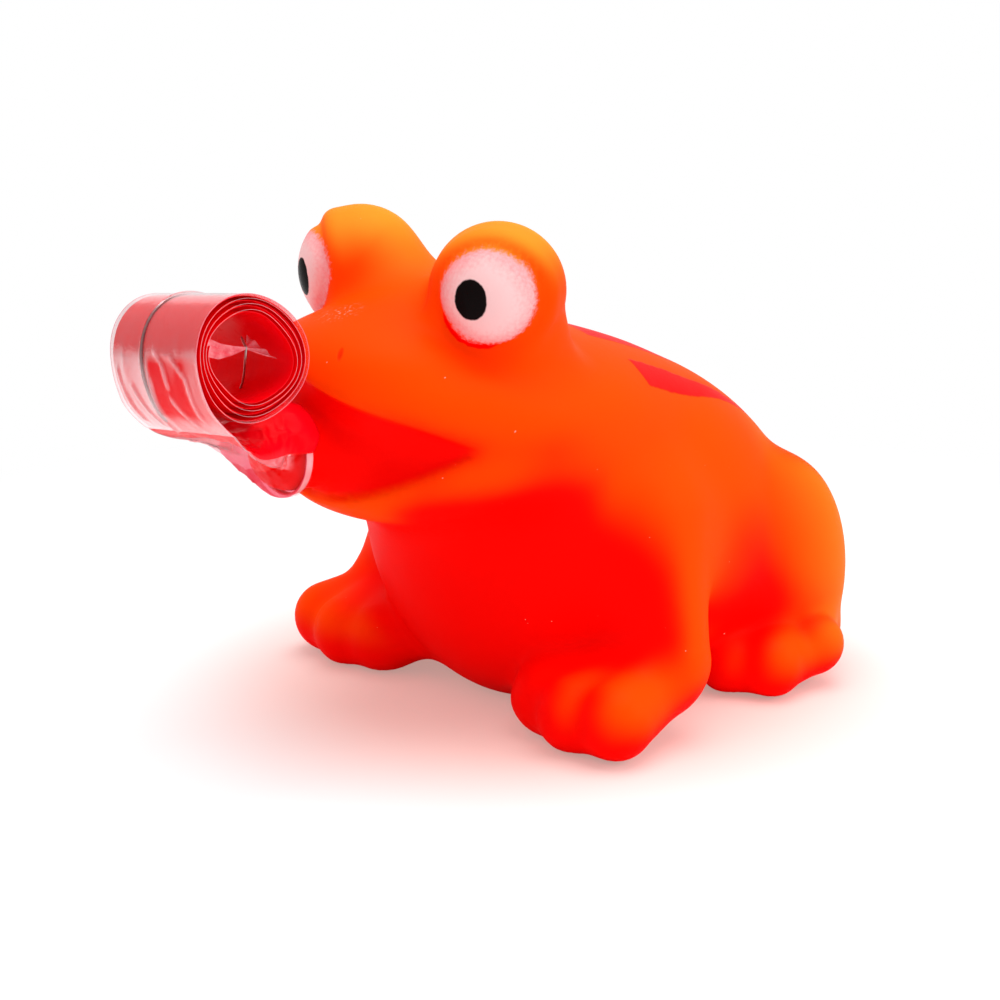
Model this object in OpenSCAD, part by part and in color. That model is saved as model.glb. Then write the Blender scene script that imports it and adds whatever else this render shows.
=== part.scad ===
// Long tongue frog toy: a hollow soft vinyl frog that is squeezed to blow out a
// rolled film tongue. Millimetres. The frog faces -Y, its left side is +X, and
// it sits on the floor plane z = 0 with the middle of its belly at the origin.

/* [Trunk] */
// Width of the trunk
trunk_w = 52; // [46:1:58]
// Length of the trunk along its sloping axis
trunk_l = 67.6; // [60:0.2:76]
// Depth of the trunk across its sloping axis
trunk_d = 47.6; // [43:0.2:52]
// Height of the trunk's middle above the floor
trunk_z = 21.6; // [20:0.2:23]
// Slope of the trunk, tail end down
trunk_slope = 24; // [14:1:32]
// Width of the chest
chest_w = 43.6; // [38:0.2:49]
// Front to back depth of the chest
chest_l = 30.6; // [26:0.2:36]
// Height of the chest
chest_h = 44; // [40:0.5:48]
// Thickness of the vinyl wall
wall = 2; // [1.5:0.1:2.4]

/* [Legs] */
// Width of a haunch
haunch_w = 17.4; // [14:0.2:20]
// Front to back length of a haunch
haunch_l = 20.6; // [18:0.2:24]
// Height of a haunch's top above the floor
haunch_h = 30.5; // [26:0.5:34]
// Thickness of a foreleg at the shoulder
shoulder_d = 15; // [12:0.2:17]
// Thickness of a foreleg at the wrist
wrist_d = 10.8; // [9:0.2:12.6]
// Thickness of a front toe
fore_toe_d = 9.8; // [8:0.2:11]
// Length of a front foot from its palm to the middle toe's end
fore_foot_l = 16.8; // [14:0.2:19]
// Thickness of a hind toe
hind_toe_d = 8.4; // [7:0.2:9.6]
// Length of a hind foot from its heel to the inner toe's end
hind_foot_l = 23.2; // [20:0.2:26]

/* [Head] */
// Distance of the head's middle in front of the belly's
head_forward = 19.8; // [18:0.2:22]
// Height of the upper jaw's middle above the floor
head_z = 42; // [40:0.5:44]
// Width of the upper jaw
head_w = 45.4; // [40:0.2:50]
// Front to back length of the upper jaw
head_l = 52; // [48:0.5:56]
// Height of the upper jaw
head_h = 21.6; // [19:0.2:24]
// Upward slope of the snout
snout_slope = 8; // [2:1:12]
// Width of the lower jaw
jaw_w = 42.6; // [38:0.2:46]
// Height of the lower jaw
jaw_h = 17.6; // [15:0.2:20]
// Width of the brow between the eyes
brow_w = 30; // [26:0.5:34]
// Width of the nose
nose_w = 26; // [22:0.5:30]

/* [Mouth] */
// Rise of the upper lip's middle above the mouth's corners
lip_rise = 8.6; // [7:0.1:9.6]
// Drop of the lower lip's middle below the mouth's corners
lip_drop = 6.3; // [5:0.1:7.2]
// Distance between the mouth's corners
mouth_w = 40.6; // [36:0.2:43]
// Depth of the mouth behind the lips
mouth_depth = 2.2; // [1.6:0.1:3]
// Diameter of the moulded stub that carries the tongue
stub_d = 10; // [9:0.1:11]
// Length of the stub from its root to its rounded tip
stub_l = 15; // [13.5:0.1:17]
// Bore of the stub, through which the air passes
stub_bore = 4; // [3:0.1:5]

/* [Eyes] */
// Distance between the middles of the eye mounds
eye_gap = 26.6; // [23:0.2:31]
// Diameter of an eye mound
mound_d = 16.6; // [15:0.2:18.4]
// Outward turn of the painted whites
eye_turn = 35; // [25:1:45]
// Outward turn of the painted pupils
pupil_turn = 24; // [14:1:36]
// Diameter of a painted white
white_d = 12; // [10:0.1:13.4]
// Diameter of a painted pupil
pupil_d = 4.2; // [3:0.1:6]

/* [Paint] */
// Thickness of the eyes' coats
eye_coat = 0.2; // [0.1:0.01:0.3]
// Thickness of the mouth's coat
mouth_coat_t = 0.4; // [0.2:0.01:0.5]
// Thickness of the coats on the back
back_coat = 0.16; // [0.1:0.01:0.3]
// Width of the middle patch on the back
saddle_w = 17; // [10:0.5:18]
// Length of the middle patch on the back
saddle_l = 28; // [20:0.5:32]
// Width of a side patch on the back
blade_w = 4; // [2.5:0.1:5]
// Length of a side patch on the back
blade_l = 26; // [18:0.5:30]

/* [Tongue] */
// Width of the flat film tube
film_w = 21; // [16:0.5:24]
// Thickness of the flat film tube
film_t = 0.2; // [0.12:0.01:0.3]
// Diameter of the film roll
roll_d = 15.2; // [13:0.2:17]
// Distance between neighbouring turns of the film
film_pitch = 0.75; // [0.74:0.01:0.9]
// Number of turns
film_turns = 4.25; // [3.25:1:5.25]
// Length of the film from the cuff to the roll
neck_l = 14; // [12.5:0.5:20]
// Upward slope of the tongue
tongue_rise = 22; // [10:1:28]
// Sideways turn of the tongue, to the frog's right
tongue_turn = 5; // [0:1:9]
// Sideways lean of the roll, left end up
tongue_lean = 7; // [0:1:12]
// Diameter of the recoil wire inside the film
wire_d = 0.32; // [0.24:0.01:0.34]
// Width of the cuff that holds the film on the stub
cuff_w = 1; // [0.6:0.1:1.6]
// Thickness of the cuff
cuff_t = 0.35; // [0.25:0.01:0.5]
// Length of the sealed end that crosses the roll's core
seal_l = 6; // [4:0.5:6.5]

/* [Hidden] */
$fn = 64;

// Cell sizes at which the smooth skin and the cavity behind it are sampled
skin_cell = 2.6;
cavity_cell = 4.2;
// Points on one turn of the film and the wire
turn_steps = 24;
// Clearances: the roll on its film, the cuff on the stub, and pieces that only meet
roll_clear = 0.3;
fit_clear = 0.15;
touch = 0.03;

// The trunk and the chest
trunk_back = 6.2;
chest_forward = 9.5;
trunk_fillet = 8;
trunk_mid = [0, trunk_back, trunk_z];
chest_mid = [0, -chest_forward, chest_h/2];

// The jaws, with the brow and the nose on top
jaw_drop = 6.4;
jaw_short = 4.8;
jaw_slope = 2.8;
jaw_fillet = 6;
brow_rise = 7.5;
brow_l = 26;
brow_h = 17.6;
nose_back = 10.8;
nose_rise = 6.5;
nose_l = 19;
nose_h = 11;
face_fillet = 5;
snout_y = -head_forward - head_l/2;
head_mid = [0, -head_forward, head_z];
jaw_mid = head_mid - [0, 0, jaw_drop];
jaw_l = head_l - jaw_short;
brow_mid = head_mid + [0, -1.7, brow_rise];
nose_mid = [0, snout_y + nose_back, head_z + nose_rise];

// The eye mounds, and the upward tilt of the paint on them, in degrees
mound_forward = 4.5;
mound_rise = 15.7;
mound_fillet = 3;
eye_tilt = 2;
pupil_tilt = -1;
mound_mid = head_mid + [eye_gap/2, -mound_forward, mound_rise];

// The legs: places out from the trunk's side, along Y, and above the floor
haunch_depth = 33;
haunch_fillet = 4;
arm_fillet = 6;
foot_fillet = 2.2;
toe_fillet = 1;
side = trunk_w/2;
haunch_mid = [side - 7.3, trunk_l/2 - 9.9, haunch_h - haunch_depth/2];
shoulder = [side - 5.8, -5, chest_h/2 + 3.9];
wrist = [side + 1.8, -7.5, 10.5];
palm = [side + 0.5, -8.5, fore_toe_d/2];
heel = [side - 5.6, haunch_mid.y + 5.1, hind_toe_d/2 + 0.6];
// Toe ends as shares of the foot's length, from the inner toe to the outer
fore_splay = [[-0.815, -0.882, 0.02], [-0.29, -1, 0], [0.245, -0.9, 0.03]];
hind_splay = [[0.06, -1, -0.03], [0.34, -0.84, -0.02], [0.36, -0.47, 0]];
fore_tips = [for (t = fore_splay) palm + (fore_foot_l - fore_toe_d/2)*t];
hind_tips = [for (t = hind_splay) heel + (hind_foot_l - hind_toe_d/2)*t];

// The mouth's corners, and the stub between the lips with its thick root
corner_drop = 2.4;
mouth_forward = 8.2;
mouth_round = 1.6;
root_size = [17.6, 16, 10.8];
root_back = 9.3;
root_drop = 3;
root_fillet = 3;
stub_fillet = 2.4;
corner_z = head_z - corner_drop;
mouth_back = -head_forward - mouth_forward;
stub_r = stub_d/2;
stub_root = [0, snout_y + root_back, head_z - root_drop];
stub_end = stub_root + [0, stub_r - stub_l, 0];

// The tongue leaves the cuff along its own axis; the roll lies on top of it
cuff_forward = 0.9;
neck_end_t = 0.7;
cuff_mid = stub_end - [0, cuff_forward, 0];
cuff_r = stub_r + fit_clear;
roll_r = roll_d/2;
roll_mid = [0, -neck_l, neck_end_t/2 + roll_clear + roll_r];
film_length = PI*film_turns*(roll_d - film_t - film_pitch*film_turns);

// Joins two distances with a fillet of size k
function blend(a, b, k) = let (h = max(k - abs(a - b), 0)/k) min(a, b) - h*h*k/4;
// Cuts one distance by another, with an edge rounding of size k
function carve(a, b, k) = -blend(-a, -b, k);
// Distance to an ellipsoid of the full size s, sloped about X
function lump(p, mid, s, slope = 0) =
    let (q = 2*(p - mid), c = cos(slope), n = sin(slope),
         u = [q.x/s.x, (q.y*c + q.z*n)/s.y, (q.z*c - q.y*n)/s.z],
         k = norm(u))
    k*(k - 1)/max(2*norm([u.x/s.x, u.y/s.y, u.z/s.z]), 0.000001);
// Distance to a limb that tapers from diameter da at a to db at b
function limb(p, a, b, da, db) =
    let (d = b - a, t = min(max((p - a)*d/(d*d), 0), 1))
    norm(p - a - t*d) - (da + (db - da)*t)/2;
// Distance to a foot of three toes, which narrow a little towards their root
function foot(p, root, tips, toe) =
    let (d = [for (t = tips) limb(p, root, t, 0.9*toe, toe)])
    blend(blend(d[0], d[1], toe_fillet), d[2], toe_fillet);
// Distance to the space between the lips, which meet at the mouth's corners: the
// lower lip is a parabola, and the upper one is straighter, with a crest
function between_lips(p) =
    let (x = 2*p.x/mouth_w,
         top = corner_z + lip_rise*(1 - 0.7*x - 0.3*x*x),
         low = corner_z - lip_drop*(1 - x*x))
    carve(carve(p.z - top, low - p.z, mouth_round), p.y - mouth_back, mouth_round);

function trunk(p) = blend(
    lump(p, trunk_mid, [trunk_w, trunk_l, trunk_d], -trunk_slope),
    lump(p, chest_mid, [chest_w, chest_l, chest_h]), trunk_fillet);
function head(p) =
    let (upper = lump(p, head_mid, [head_w, head_l, head_h], -snout_slope),
         jaws = blend(upper, lump(p, jaw_mid, [jaw_w, jaw_l, jaw_h], jaw_slope), jaw_fillet),
         brow = blend(jaws, lump(p, brow_mid, [brow_w, brow_l, brow_h]), face_fillet))
    blend(brow, lump(p, nose_mid, [nose_w, nose_l, nose_h]), face_fillet);
function legs(p, f, feet) =
    let (f1 = blend(f, lump(p, haunch_mid, [haunch_w, haunch_l, haunch_depth]), haunch_fillet),
         f2 = blend(f1, limb(p, shoulder, wrist, shoulder_d, wrist_d), arm_fillet),
         f3 = feet ? blend(f2, foot(p, palm, fore_tips, fore_toe_d), foot_fillet) : f2)
    feet ? blend(f3, foot(p, heel, hind_tips, hind_toe_d), foot_fillet) : f3;
function stub(p) = blend(
    lump(p, stub_root, root_size), limb(p, stub_root, stub_end, stub_d, stub_d), root_fillet);

// Distance of a point to the frog's outer skin, negative inside. The cavity
// stops at the wrists and the haunches, so that the feet are solid.
function skin(point, feet = true) =
    let (p = [abs(point.x), point.y, point.z],
         f1 = blend(trunk(p), head(p), trunk_fillet),
         f2 = blend(f1, norm(p - mound_mid) - mound_d/2, mound_fillet),
         f3 = legs(p, f2, feet),
         f4 = carve(f3, blend(-between_lips(p), f3 + mouth_depth, mouth_round), mouth_round),
         f5 = blend(f4, stub(p), stub_fillet))
    carve(f5, -p.z, 0.8);

// The skin's box, with room to spare
margin = 3;
reach = [
    max(trunk_w/2, haunch_mid.x + haunch_w/2, fore_tips[2].x + fore_toe_d/2, hind_tips[2].x + hind_toe_d/2,
        head_w/2, mound_mid.x + mound_d/2) + margin,
    max(trunk_mid.y + trunk_l/2, haunch_mid.y + haunch_l/2, heel.y + hind_toe_d/2) + margin,
    mound_mid.z + mound_d/2 + margin];
front = min(stub_end.y - stub_r, snout_y) - margin;

// Moves a point on to the surface that lies a depth under the skin
function settle(p, depth, steps) = steps == 0 ? p :
    let (e = 0.05, feet = depth == 0, f = skin(p, feet),
         g = [for (d = [[e, 0, 0], [0, e, 0], [0, 0, e]]) skin(p + d, feet) - f]/e)
    settle(p - g*(f + depth)/max(g*g, 0.2), depth, steps - 1);

// A smooth closed solid: the space more than a depth under the skin. One point
// lies in each cell that the surface passes, and one face on each cell edge.
module skin_solid(depth, cell, steps) {
    half = ceil(reach.x/cell);
    nx = 2*half;
    ny = ceil((reach.y - front)/cell);
    nz = ceil(reach.z/cell) + 1;
    low = [-half*cell, front, -cell/2];
    sy = nz + 1;
    sx = (ny + 1)*sy;
    // The frog is the same on both sides, so half of the values are mirrored
    sheets = [for (i = [0:half]) [for (j = [0:ny]) for (k = [0:nz])
        skin(low + cell*[i, j, k], depth == 0) + depth]];
    raw = [for (i = [0:nx]) each sheets[min(i, nx - i)]];
    // A grid point just outside, between two that lie inside, would pinch the surface: it is taken inside
    squares = [for (a = [sx, sy]) for (b = [sy, 1]) if (a != b) for (s = [-a, a]) for (t = [-b, b]) [s, t]];
    function pinched(n) = len([for (q = squares)
        if (raw[n + q[0]] < 0 && raw[n + q[1]] < 0 && raw[n + q[0] + q[1]] >= 0) q]) > 0;
    value = [for (n = [0:len(raw) - 1]) raw[n] >= 0 && raw[n] < cell && pinched(n) ? -cell/100 : raw[n]];
    inside = [for (f = value) f < 0 ? 1 : 0];
    corner = [for (i = [0, 1]) for (j = [0, 1]) for (k = [0, 1]) [i, j, k]];
    step = [for (c = corner) c*[sx, sy, 1]];
    edges = [for (a = [0:7]) for (b = [a + 1:7]) if (norm(corner[a] - corner[b]) == 1) [a, b]];
    function crossed(c) =
        let (b = c*[sx, sy, 1], s = [for (d = step) inside[b + d]]*[1, 1, 1, 1, 1, 1, 1, 1])
        s > 0 && s < 8;
    marks = [for (i = [0:nx - 1]) for (j = [0:ny - 1]) for (k = [0:nz - 1]) crossed([i, j, k]) ? 1 : 0];
    ids = [for (c = 0, m = 0; c < len(marks); m = m + marks[c], c = c + 1) m];
    function id(i, j, k) = ids[(i*ny + j)*nz + k];
    function place(c) =
        let (b = c*[sx, sy, 1],
             hits = [for (e = edges)
                 let (fa = value[b + step[e[0]]], fb = value[b + step[e[1]]])
                 if ((fa < 0) != (fb < 0))
                     corner[e[0]] + (corner[e[1]] - corner[e[0]])*fa/(fa - fb)],
             p = settle(low + cell*(c + [for (h = hits) 1]*hits/len(hits)), depth, steps))
        // The soles and the belly are flat on the floor
        [p.x, p.y, depth == 0 && p.z < 0.35 ? 0 : p.z];
    right = [for (i = [0:half - 1]) for (j = [0:ny - 1]) for (k = [0:nz - 1])
        if (marks[(i*ny + j)*nz + k] == 1) place([i, j, k])];
    left = [for (i = [half:nx - 1]) for (j = [0:ny - 1]) for (k = [0:nz - 1])
        if (marks[(i*ny + j)*nz + k] == 1)
            let (p = right[id(nx - 1 - i, j, k)]) [-p.x, p.y, p.z]];
    points = concat(right, left);
    function turned(q, flip) = flip ? [q[3], q[2], q[1], q[0]] : q;
    quads = [for (i = [0:nx - 1]) for (j = [0:ny - 1]) for (k = [0:nz - 1])
        let (b = i*sx + j*sy + k, in = inside[b] == 1)
        each [
            if (j > 0 && k > 0 && inside[b] != inside[b + sx])
                turned([id(i, j - 1, k - 1), id(i, j, k - 1), id(i, j, k), id(i, j - 1, k)], in),
            if (i > 0 && k > 0 && inside[b] != inside[b + sy])
                turned([id(i - 1, j, k - 1), id(i - 1, j, k), id(i, j, k), id(i, j, k - 1)], in),
            if (i > 0 && j > 0 && inside[b] != inside[b + 1])
                turned([id(i - 1, j - 1, k), id(i, j - 1, k), id(i, j, k), id(i - 1, j, k)], in)]];
    function off(a, b) = abs(skin((points[a] + points[b])/2, depth == 0) + depth);
    // Each quad is split along the diagonal that lies nearer to the surface
    faces = [for (q = quads)
        each off(q[0], q[2]) < off(q[1], q[3])
            ? [[q[0], q[1], q[2]], [q[0], q[2], q[3]]]
            : [[q[0], q[1], q[3]], [q[1], q[2], q[3]]]];
    polyhedron(points, faces, convexity = 8);
}

// The faces of a grid of points, row after row, closed round its columns if ring
function grid_faces(rows, cols, ring, flip) = [
    for (r = [0:rows - 2]) for (c = [0:ring ? cols - 1 : cols - 2])
        let (a = r*cols + c, b = r*cols + (c + 1)%cols)
        each flip ? [[a, a + cols, b + cols], [a, b + cols, b]]
                  : [[a, b, b + cols], [a, b + cols, a + cols]]];
// The faces that join two rims, given as lists of point numbers
function rim_faces(a, b, ring) = [
    for (i = [0:ring ? len(a) - 1 : len(a) - 2])
        let (j = (i + 1)%len(a))
        each [[a[i], b[i], b[j]], [a[i], b[j], a[j]]]];

// Where the line from a point outside to one inside meets the skin raised by lift
function meet(out, in, lift, steps = 13) =
    let (m = (out + in)/2)
    steps == 0 ? m : skin(m) > lift ? meet(m, in, lift, steps - 1) : meet(out, m, lift, steps - 1);

// A coat of paint between two lifts from the skin, where a grid of lines meets it
module coat(lines, lift, t, ring = false) {
    rows = len(lines);
    cols = len(lines[0]);
    n = rows*cols;
    under = [for (row = lines) for (l = row) meet(l[0], l[1], lift)];
    over = [for (row = lines) for (l = row) meet(l[0], l[1], lift + t)];
    first = [for (c = [0:cols - 1]) c];
    last = [for (c = first) n - cols + c];
    sides = [for (r = [0:rows - 1]) [r*cols, r*cols + cols - 1]];
    rims = concat(
        rim_faces(first, [for (c = first) c + n], ring),
        rim_faces([for (c = last) c + n], last, ring),
        ring ? [] : rim_faces([for (s = sides) s[0] + n], [for (s = sides) s[0]], false),
        ring ? [] : rim_faces([for (s = sides) s[1]], [for (s = sides) s[1] + n], false));
    faces = concat(
        grid_faces(rows, cols, ring, false),
        [for (f = grid_faces(rows, cols, ring, true)) [f[0] + n, f[1] + n, f[2] + n]], rims);
    polyhedron(concat(under, over), faces, convexity = 8);
}

// A round coat on an eye mound
module eye_cap(hand, turn, rise, d, lift, t) {
    r = mound_d/2 + lift;
    half = asin(d/mound_d);
    steps = 6;
    arc = [for (i = [0:steps]) half*i/steps];
    mirror([hand < 0 ? 1 : 0, 0, 0]) translate(mound_mid) rotate([0, 0, turn]) rotate([90 - rise, 0, 0])
        rotate_extrude($fn = 40) polygon(concat(
            [for (a = arc) (r + t)*[sin(a), cos(a)]],
            [for (i = [0:steps]) r*[sin(arc[steps - i]), cos(arc[steps - i])]]));
}

// The lines that place the mouth's coat: along the stub, then out to the lips
mouth_cols = 40;
function stub_line(turn, y) =
    let (d = [cos(turn), 0, sin(turn)], mid = [0, y, stub_end.z])
    [mid + (stub_r + 1.4)*d, mid + 0.4*stub_r*d];
function lip_far(turn, near = 2, far = 30, steps = 14) =
    let (m = (near + far)/2, p = [abs(m*cos(turn)), mouth_back - 4, corner_z + m*sin(turn)])
    steps == 0 ? m : between_lips(p) < 0 ? lip_far(turn, m, far, steps - 1) : lip_far(turn, near, m, steps - 1);
function mouth_line(turn, share) =
    let (root = [0, stub_end.z] + (stub_r + 0.9)*[cos(turn), sin(turn)],
         lip = [0, corner_z] + lip_far(turn)*[cos(turn), sin(turn)],
         p = root + share*(lip - root))
    [[p.x, front, p.y], [p.x, mouth_back + 4, p.y]];

// The lines that place a patch on the back: u runs from its front to its rear, and
// v from one edge to the other. The patches narrow towards the rear.
saddle_front = -6;
blade_front = -2.3;
blade_inset = 10;
blade_drift = 3.4;
function back_line(x, y) = [[x, y, reach.z], [x, y, trunk_z]];
function saddle_line(u, v) = back_line(saddle_w/2*v*sqrt(1 - 0.94*u*u), saddle_front + saddle_l*u);
function blade_line(u, v, hand) =
    let (mid = side - blade_inset - blade_drift*u, half = blade_w/2*(1 - 0.92*u*u*u))
    back_line(hand*mid + half*v, blade_front + blade_l*u);

// Swings a direction by a share of the tongue's lean, rise and turn
function swing(v, share) =
    let (l = share*tongue_lean, r = share*tongue_rise, t = share*tongue_turn,
         a = [v.x*cos(l) - v.z*sin(l), v.y, v.x*sin(l) + v.z*cos(l)],
         b = [a.x, a.y*cos(r) + a.z*sin(r), a.z*cos(r) - a.y*sin(r)])
    [b.x*cos(t) + b.y*sin(t), b.y*cos(t) - b.x*sin(t), b.z];
// The tongue's own frame: -Y along the film, X along the roll's axis
module tongue_frame() {
    translate(cuff_mid) rotate([0, 0, -tongue_turn]) rotate([-tongue_rise, 0, 0]) rotate([0, -tongue_lean, 0])
        children();
}
// A point of the roll's spiral at a turn in degrees, in a plane square to its axis
function spiral(turn, inset) = (roll_r - film_t/2 - film_pitch*turn/360 - inset)*[sin(turn), -cos(turn)];
function roll_turns(from, to) =
    let (n = round((to - from)*turn_steps)) [for (i = [0:n]) 360*(from + (to - from)*i/n)];
// The least distance between points of one winding that are half a turn or more apart
function least_step(points) = min([
    for (i = [0:len(points) - 1]) for (j = [i + turn_steps/2:1:len(points) - 1]) norm(points[i] - points[j])]);

module body_shell() {
    color("orangered") difference() {
        skin_solid(0, skin_cell, 2);
        skin_solid(wall, cavity_cell, 1);
        translate(stub_end - [0, stub_d, 0]) rotate([-90, 0, 0]) cylinder(h = stub_d + stub_r, d = stub_bore);
    }
}

module mouth_coat() {
    turns = [for (c = [0:mouth_cols - 1]) -360*c/mouth_cols];
    stub_ys = [for (d = [0.3, 1, 1.8]) cuff_mid.y + cuff_w/2 + d];
    color("red") coat(concat(
        [for (y = stub_ys) [for (t = turns) stub_line(t, y)]],
        [for (s = [0, 0.12, 0.25, 0.4, 0.55, 0.7, 0.85, 0.98]) [for (t = turns) mouth_line(t, s)]]),
        touch, mouth_coat_t, ring = true);
}

module eye_white_left() { color("mistyrose") eye_cap(1, eye_turn, eye_tilt, white_d, touch, eye_coat); }
module eye_white_right() { color("mistyrose") eye_cap(-1, eye_turn, eye_tilt, white_d, touch, eye_coat); }
module pupil_left() { color("black") eye_cap(1, pupil_turn, pupil_tilt, pupil_d, eye_coat + 2*touch, eye_coat); }
module pupil_right() { color("black") eye_cap(-1, pupil_turn, pupil_tilt, pupil_d, eye_coat + 2*touch, eye_coat); }

module back_patch_centre() {
    color("red") coat([for (u = [0:0.1:1]) [for (v = [-1:0.2:1]) saddle_line(u, v)]], touch, back_coat);
}
module side_patch(hand) {
    coat([for (u = [0:0.1:1]) [for (v = [-1:0.5:1]) blade_line(u, v, hand)]], touch, back_coat);
}
module back_patch_left() { color("red") side_patch(1); }
module back_patch_right() { color("red") side_patch(-1); }

module tongue_cuff() {
    color("pink") translate(cuff_mid + [0, cuff_w/2, 0]) rotate([90, 0, 0]) difference() {
        cylinder(h = cuff_w, r = cuff_r + cuff_t);
        translate([0, 0, -1]) cylinder(h = cuff_w + 2, r = cuff_r);
    }
}

// The film from the cuff to the roll: a round sleeve that draws out flat
module tongue_neck() {
    rings = 12;
    sides = 24;
    start = cuff_mid - [0, cuff_w/2 + touch, 0];
    finish = cuff_mid + neck_l*swing([0, -1, 0], 1);
    r = cuff_r + film_t;
    function ring(t, inset) =
        let (mid = (1 - t)*(1 - t)*start + 2*t*(1 - t)*(start - [0, neck_l/2, 0]) + t*t*finish,
             wide = r + (film_w/2 - r)*t*t*(3 - 2*t) - inset,
             high = neck_end_t/2 + (r - neck_end_t/2)*pow(1 - t, 1.6) - inset)
        [for (i = [0:sides - 1])
            mid + swing([wide*cos(360*i/sides), 0, high*sin(360*i/sides)], t)];
    n = (rings + 1)*sides;
    outer = [for (k = [0:rings]) each ring(k/rings, 0)];
    inner = [for (k = [0:rings]) each ring(k/rings, film_t)];
    first = [for (i = [0:sides - 1]) i];
    last = [for (i = first) n - sides + i];
    color("crimson", 0.7) polyhedron(concat(outer, inner), concat(
        grid_faces(rings + 1, sides, true, true),
        [for (f = grid_faces(rings + 1, sides, true, false)) [f[0] + n, f[1] + n, f[2] + n]],
        rim_faces([for (i = first) i + n], first, true),
        rim_faces(last, [for (i = last) i + n], true)), convexity = 6);
}

module roll_frame() {
    tongue_frame() translate(roll_mid) children();
}

module tongue_roll() {
    turns = roll_turns(0, film_turns);
    middle = [for (t = turns) spiral(t, 0)];
    echo(film_gap = least_step(middle) - film_t, film_length = film_length);
    color("crimson", 0.7) roll_frame() rotate([90, 0, -90])
        linear_extrude(height = film_w, center = true) polygon(concat(
            [for (t = turns) spiral(t, -film_t/2)],
            [for (i = [len(turns) - 1:-1:0]) spiral(turns[i], film_t/2)]));
}

// The wire lies in the middle of the gap inside each turn of the film
module recoil_wire() {
    sides = 6;
    turns = roll_turns(1/turn_steps, film_turns - 1/turn_steps);
    middle = [for (t = turns) spiral(t, film_pitch/2)];
    echo(wire_gap = least_step(middle) - wire_d);
    points = [for (i = [0:len(turns) - 1]) each [for (k = [0:sides - 1])
        let (a = 360*k/sides, q = spiral(turns[i], film_pitch/2 - wire_d/2*cos(a)))
        [wire_d/2*sin(a), -q.x, q.y]]];
    n = len(points);
    color("silver") roll_frame() polyhedron(points, concat(
        grid_faces(len(turns), sides, true, true),
        [[for (k = [0:sides - 1]) k], [for (k = [0:sides - 1]) n - 1 - k]]), convexity = 10);
}

// The film's closed end, which leaves the last turn and crosses the core
module tongue_tip_seal() {
    end = spiral(360*film_turns, 0);
    color("lightpink", 0.8) roll_frame() rotate([90, 0, -90])
        linear_extrude(height = film_w, center = true)
            translate([end.x - seal_l - film_t/2 - touch, film_t]) square([seal_l, 1.5*film_t]);
}

body_shell();
mouth_coat();
eye_white_left();
eye_white_right();
pupil_left();
pupil_right();
back_patch_centre();
back_patch_left();
back_patch_right();
tongue_cuff();
tongue_neck();
tongue_roll();
recoil_wire();
tongue_tip_seal();
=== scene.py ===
import bpy
import numpy as np
from mathutils import Matrix


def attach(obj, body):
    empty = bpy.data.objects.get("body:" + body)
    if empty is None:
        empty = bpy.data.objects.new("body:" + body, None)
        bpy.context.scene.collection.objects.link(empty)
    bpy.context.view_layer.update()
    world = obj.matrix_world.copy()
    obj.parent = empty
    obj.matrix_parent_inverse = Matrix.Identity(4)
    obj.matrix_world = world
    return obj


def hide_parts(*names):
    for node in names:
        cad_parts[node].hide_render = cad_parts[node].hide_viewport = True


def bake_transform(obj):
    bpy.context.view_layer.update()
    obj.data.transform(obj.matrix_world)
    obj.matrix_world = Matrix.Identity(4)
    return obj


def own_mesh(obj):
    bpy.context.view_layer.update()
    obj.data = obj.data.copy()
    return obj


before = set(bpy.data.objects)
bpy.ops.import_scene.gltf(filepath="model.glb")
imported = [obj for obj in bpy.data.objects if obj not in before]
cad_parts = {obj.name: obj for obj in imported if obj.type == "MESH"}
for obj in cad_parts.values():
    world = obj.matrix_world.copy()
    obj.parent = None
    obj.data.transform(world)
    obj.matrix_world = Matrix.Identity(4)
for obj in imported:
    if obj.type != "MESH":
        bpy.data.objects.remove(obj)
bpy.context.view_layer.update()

# The frog is one hollow moulding of soft orange vinyl, cast in a turning mould, so it
# has no seam. The stub that carries the tongue is moulded into the mouth. The eyes,
# the mouth and the patches on the back are sprayed on, so they are part of its skin.
mm = 0.001

trunk_mid, trunk_size, trunk_slope = (0, 6.2, 21.6), (52, 67.6, 47.6), -24
chest_mid, chest_size = (0, -9.5, 22), (43.6, 30.6, 44)
head_mid, head_size, snout_slope = np.array([0, -19.8, 42]), (45.4, 52, 21.6), -8
jaw_mid, jaw_size, jaw_slope = head_mid - [0, 0, 6.4], (42.6, 47.2, 17.6), 2.8
brow_mid, brow_size = head_mid + [0, -1.7, 7.5], (30, 26, 17.6)
nose_mid, nose_size = np.array([0, -35, 48.5]), (26, 19, 11)
trunk_fillet, jaw_fillet, face_fillet = 8, 6, 5

mound_mid, mound_r = head_mid + [13.3, -4.5, 15.7], 8.3
mound_fillet, behind_fillet, outer_fillet, outer_turn, outer_tilt = 3, 3.5, 4, 138, -55
white_turn, white_tilt, white_r = 35, 1, 6.15
pupil_turn, pupil_tilt, pupil_r, pupil_tall = 24, -1, 2.1, 1.18
groove_angle, groove_width, groove_depth = 51, 6.5, 0.45
lid_angle, lid_width, lid_rise, lid_reach, upper_lid = 66, 9, 0.3, 2.5, 5

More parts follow.
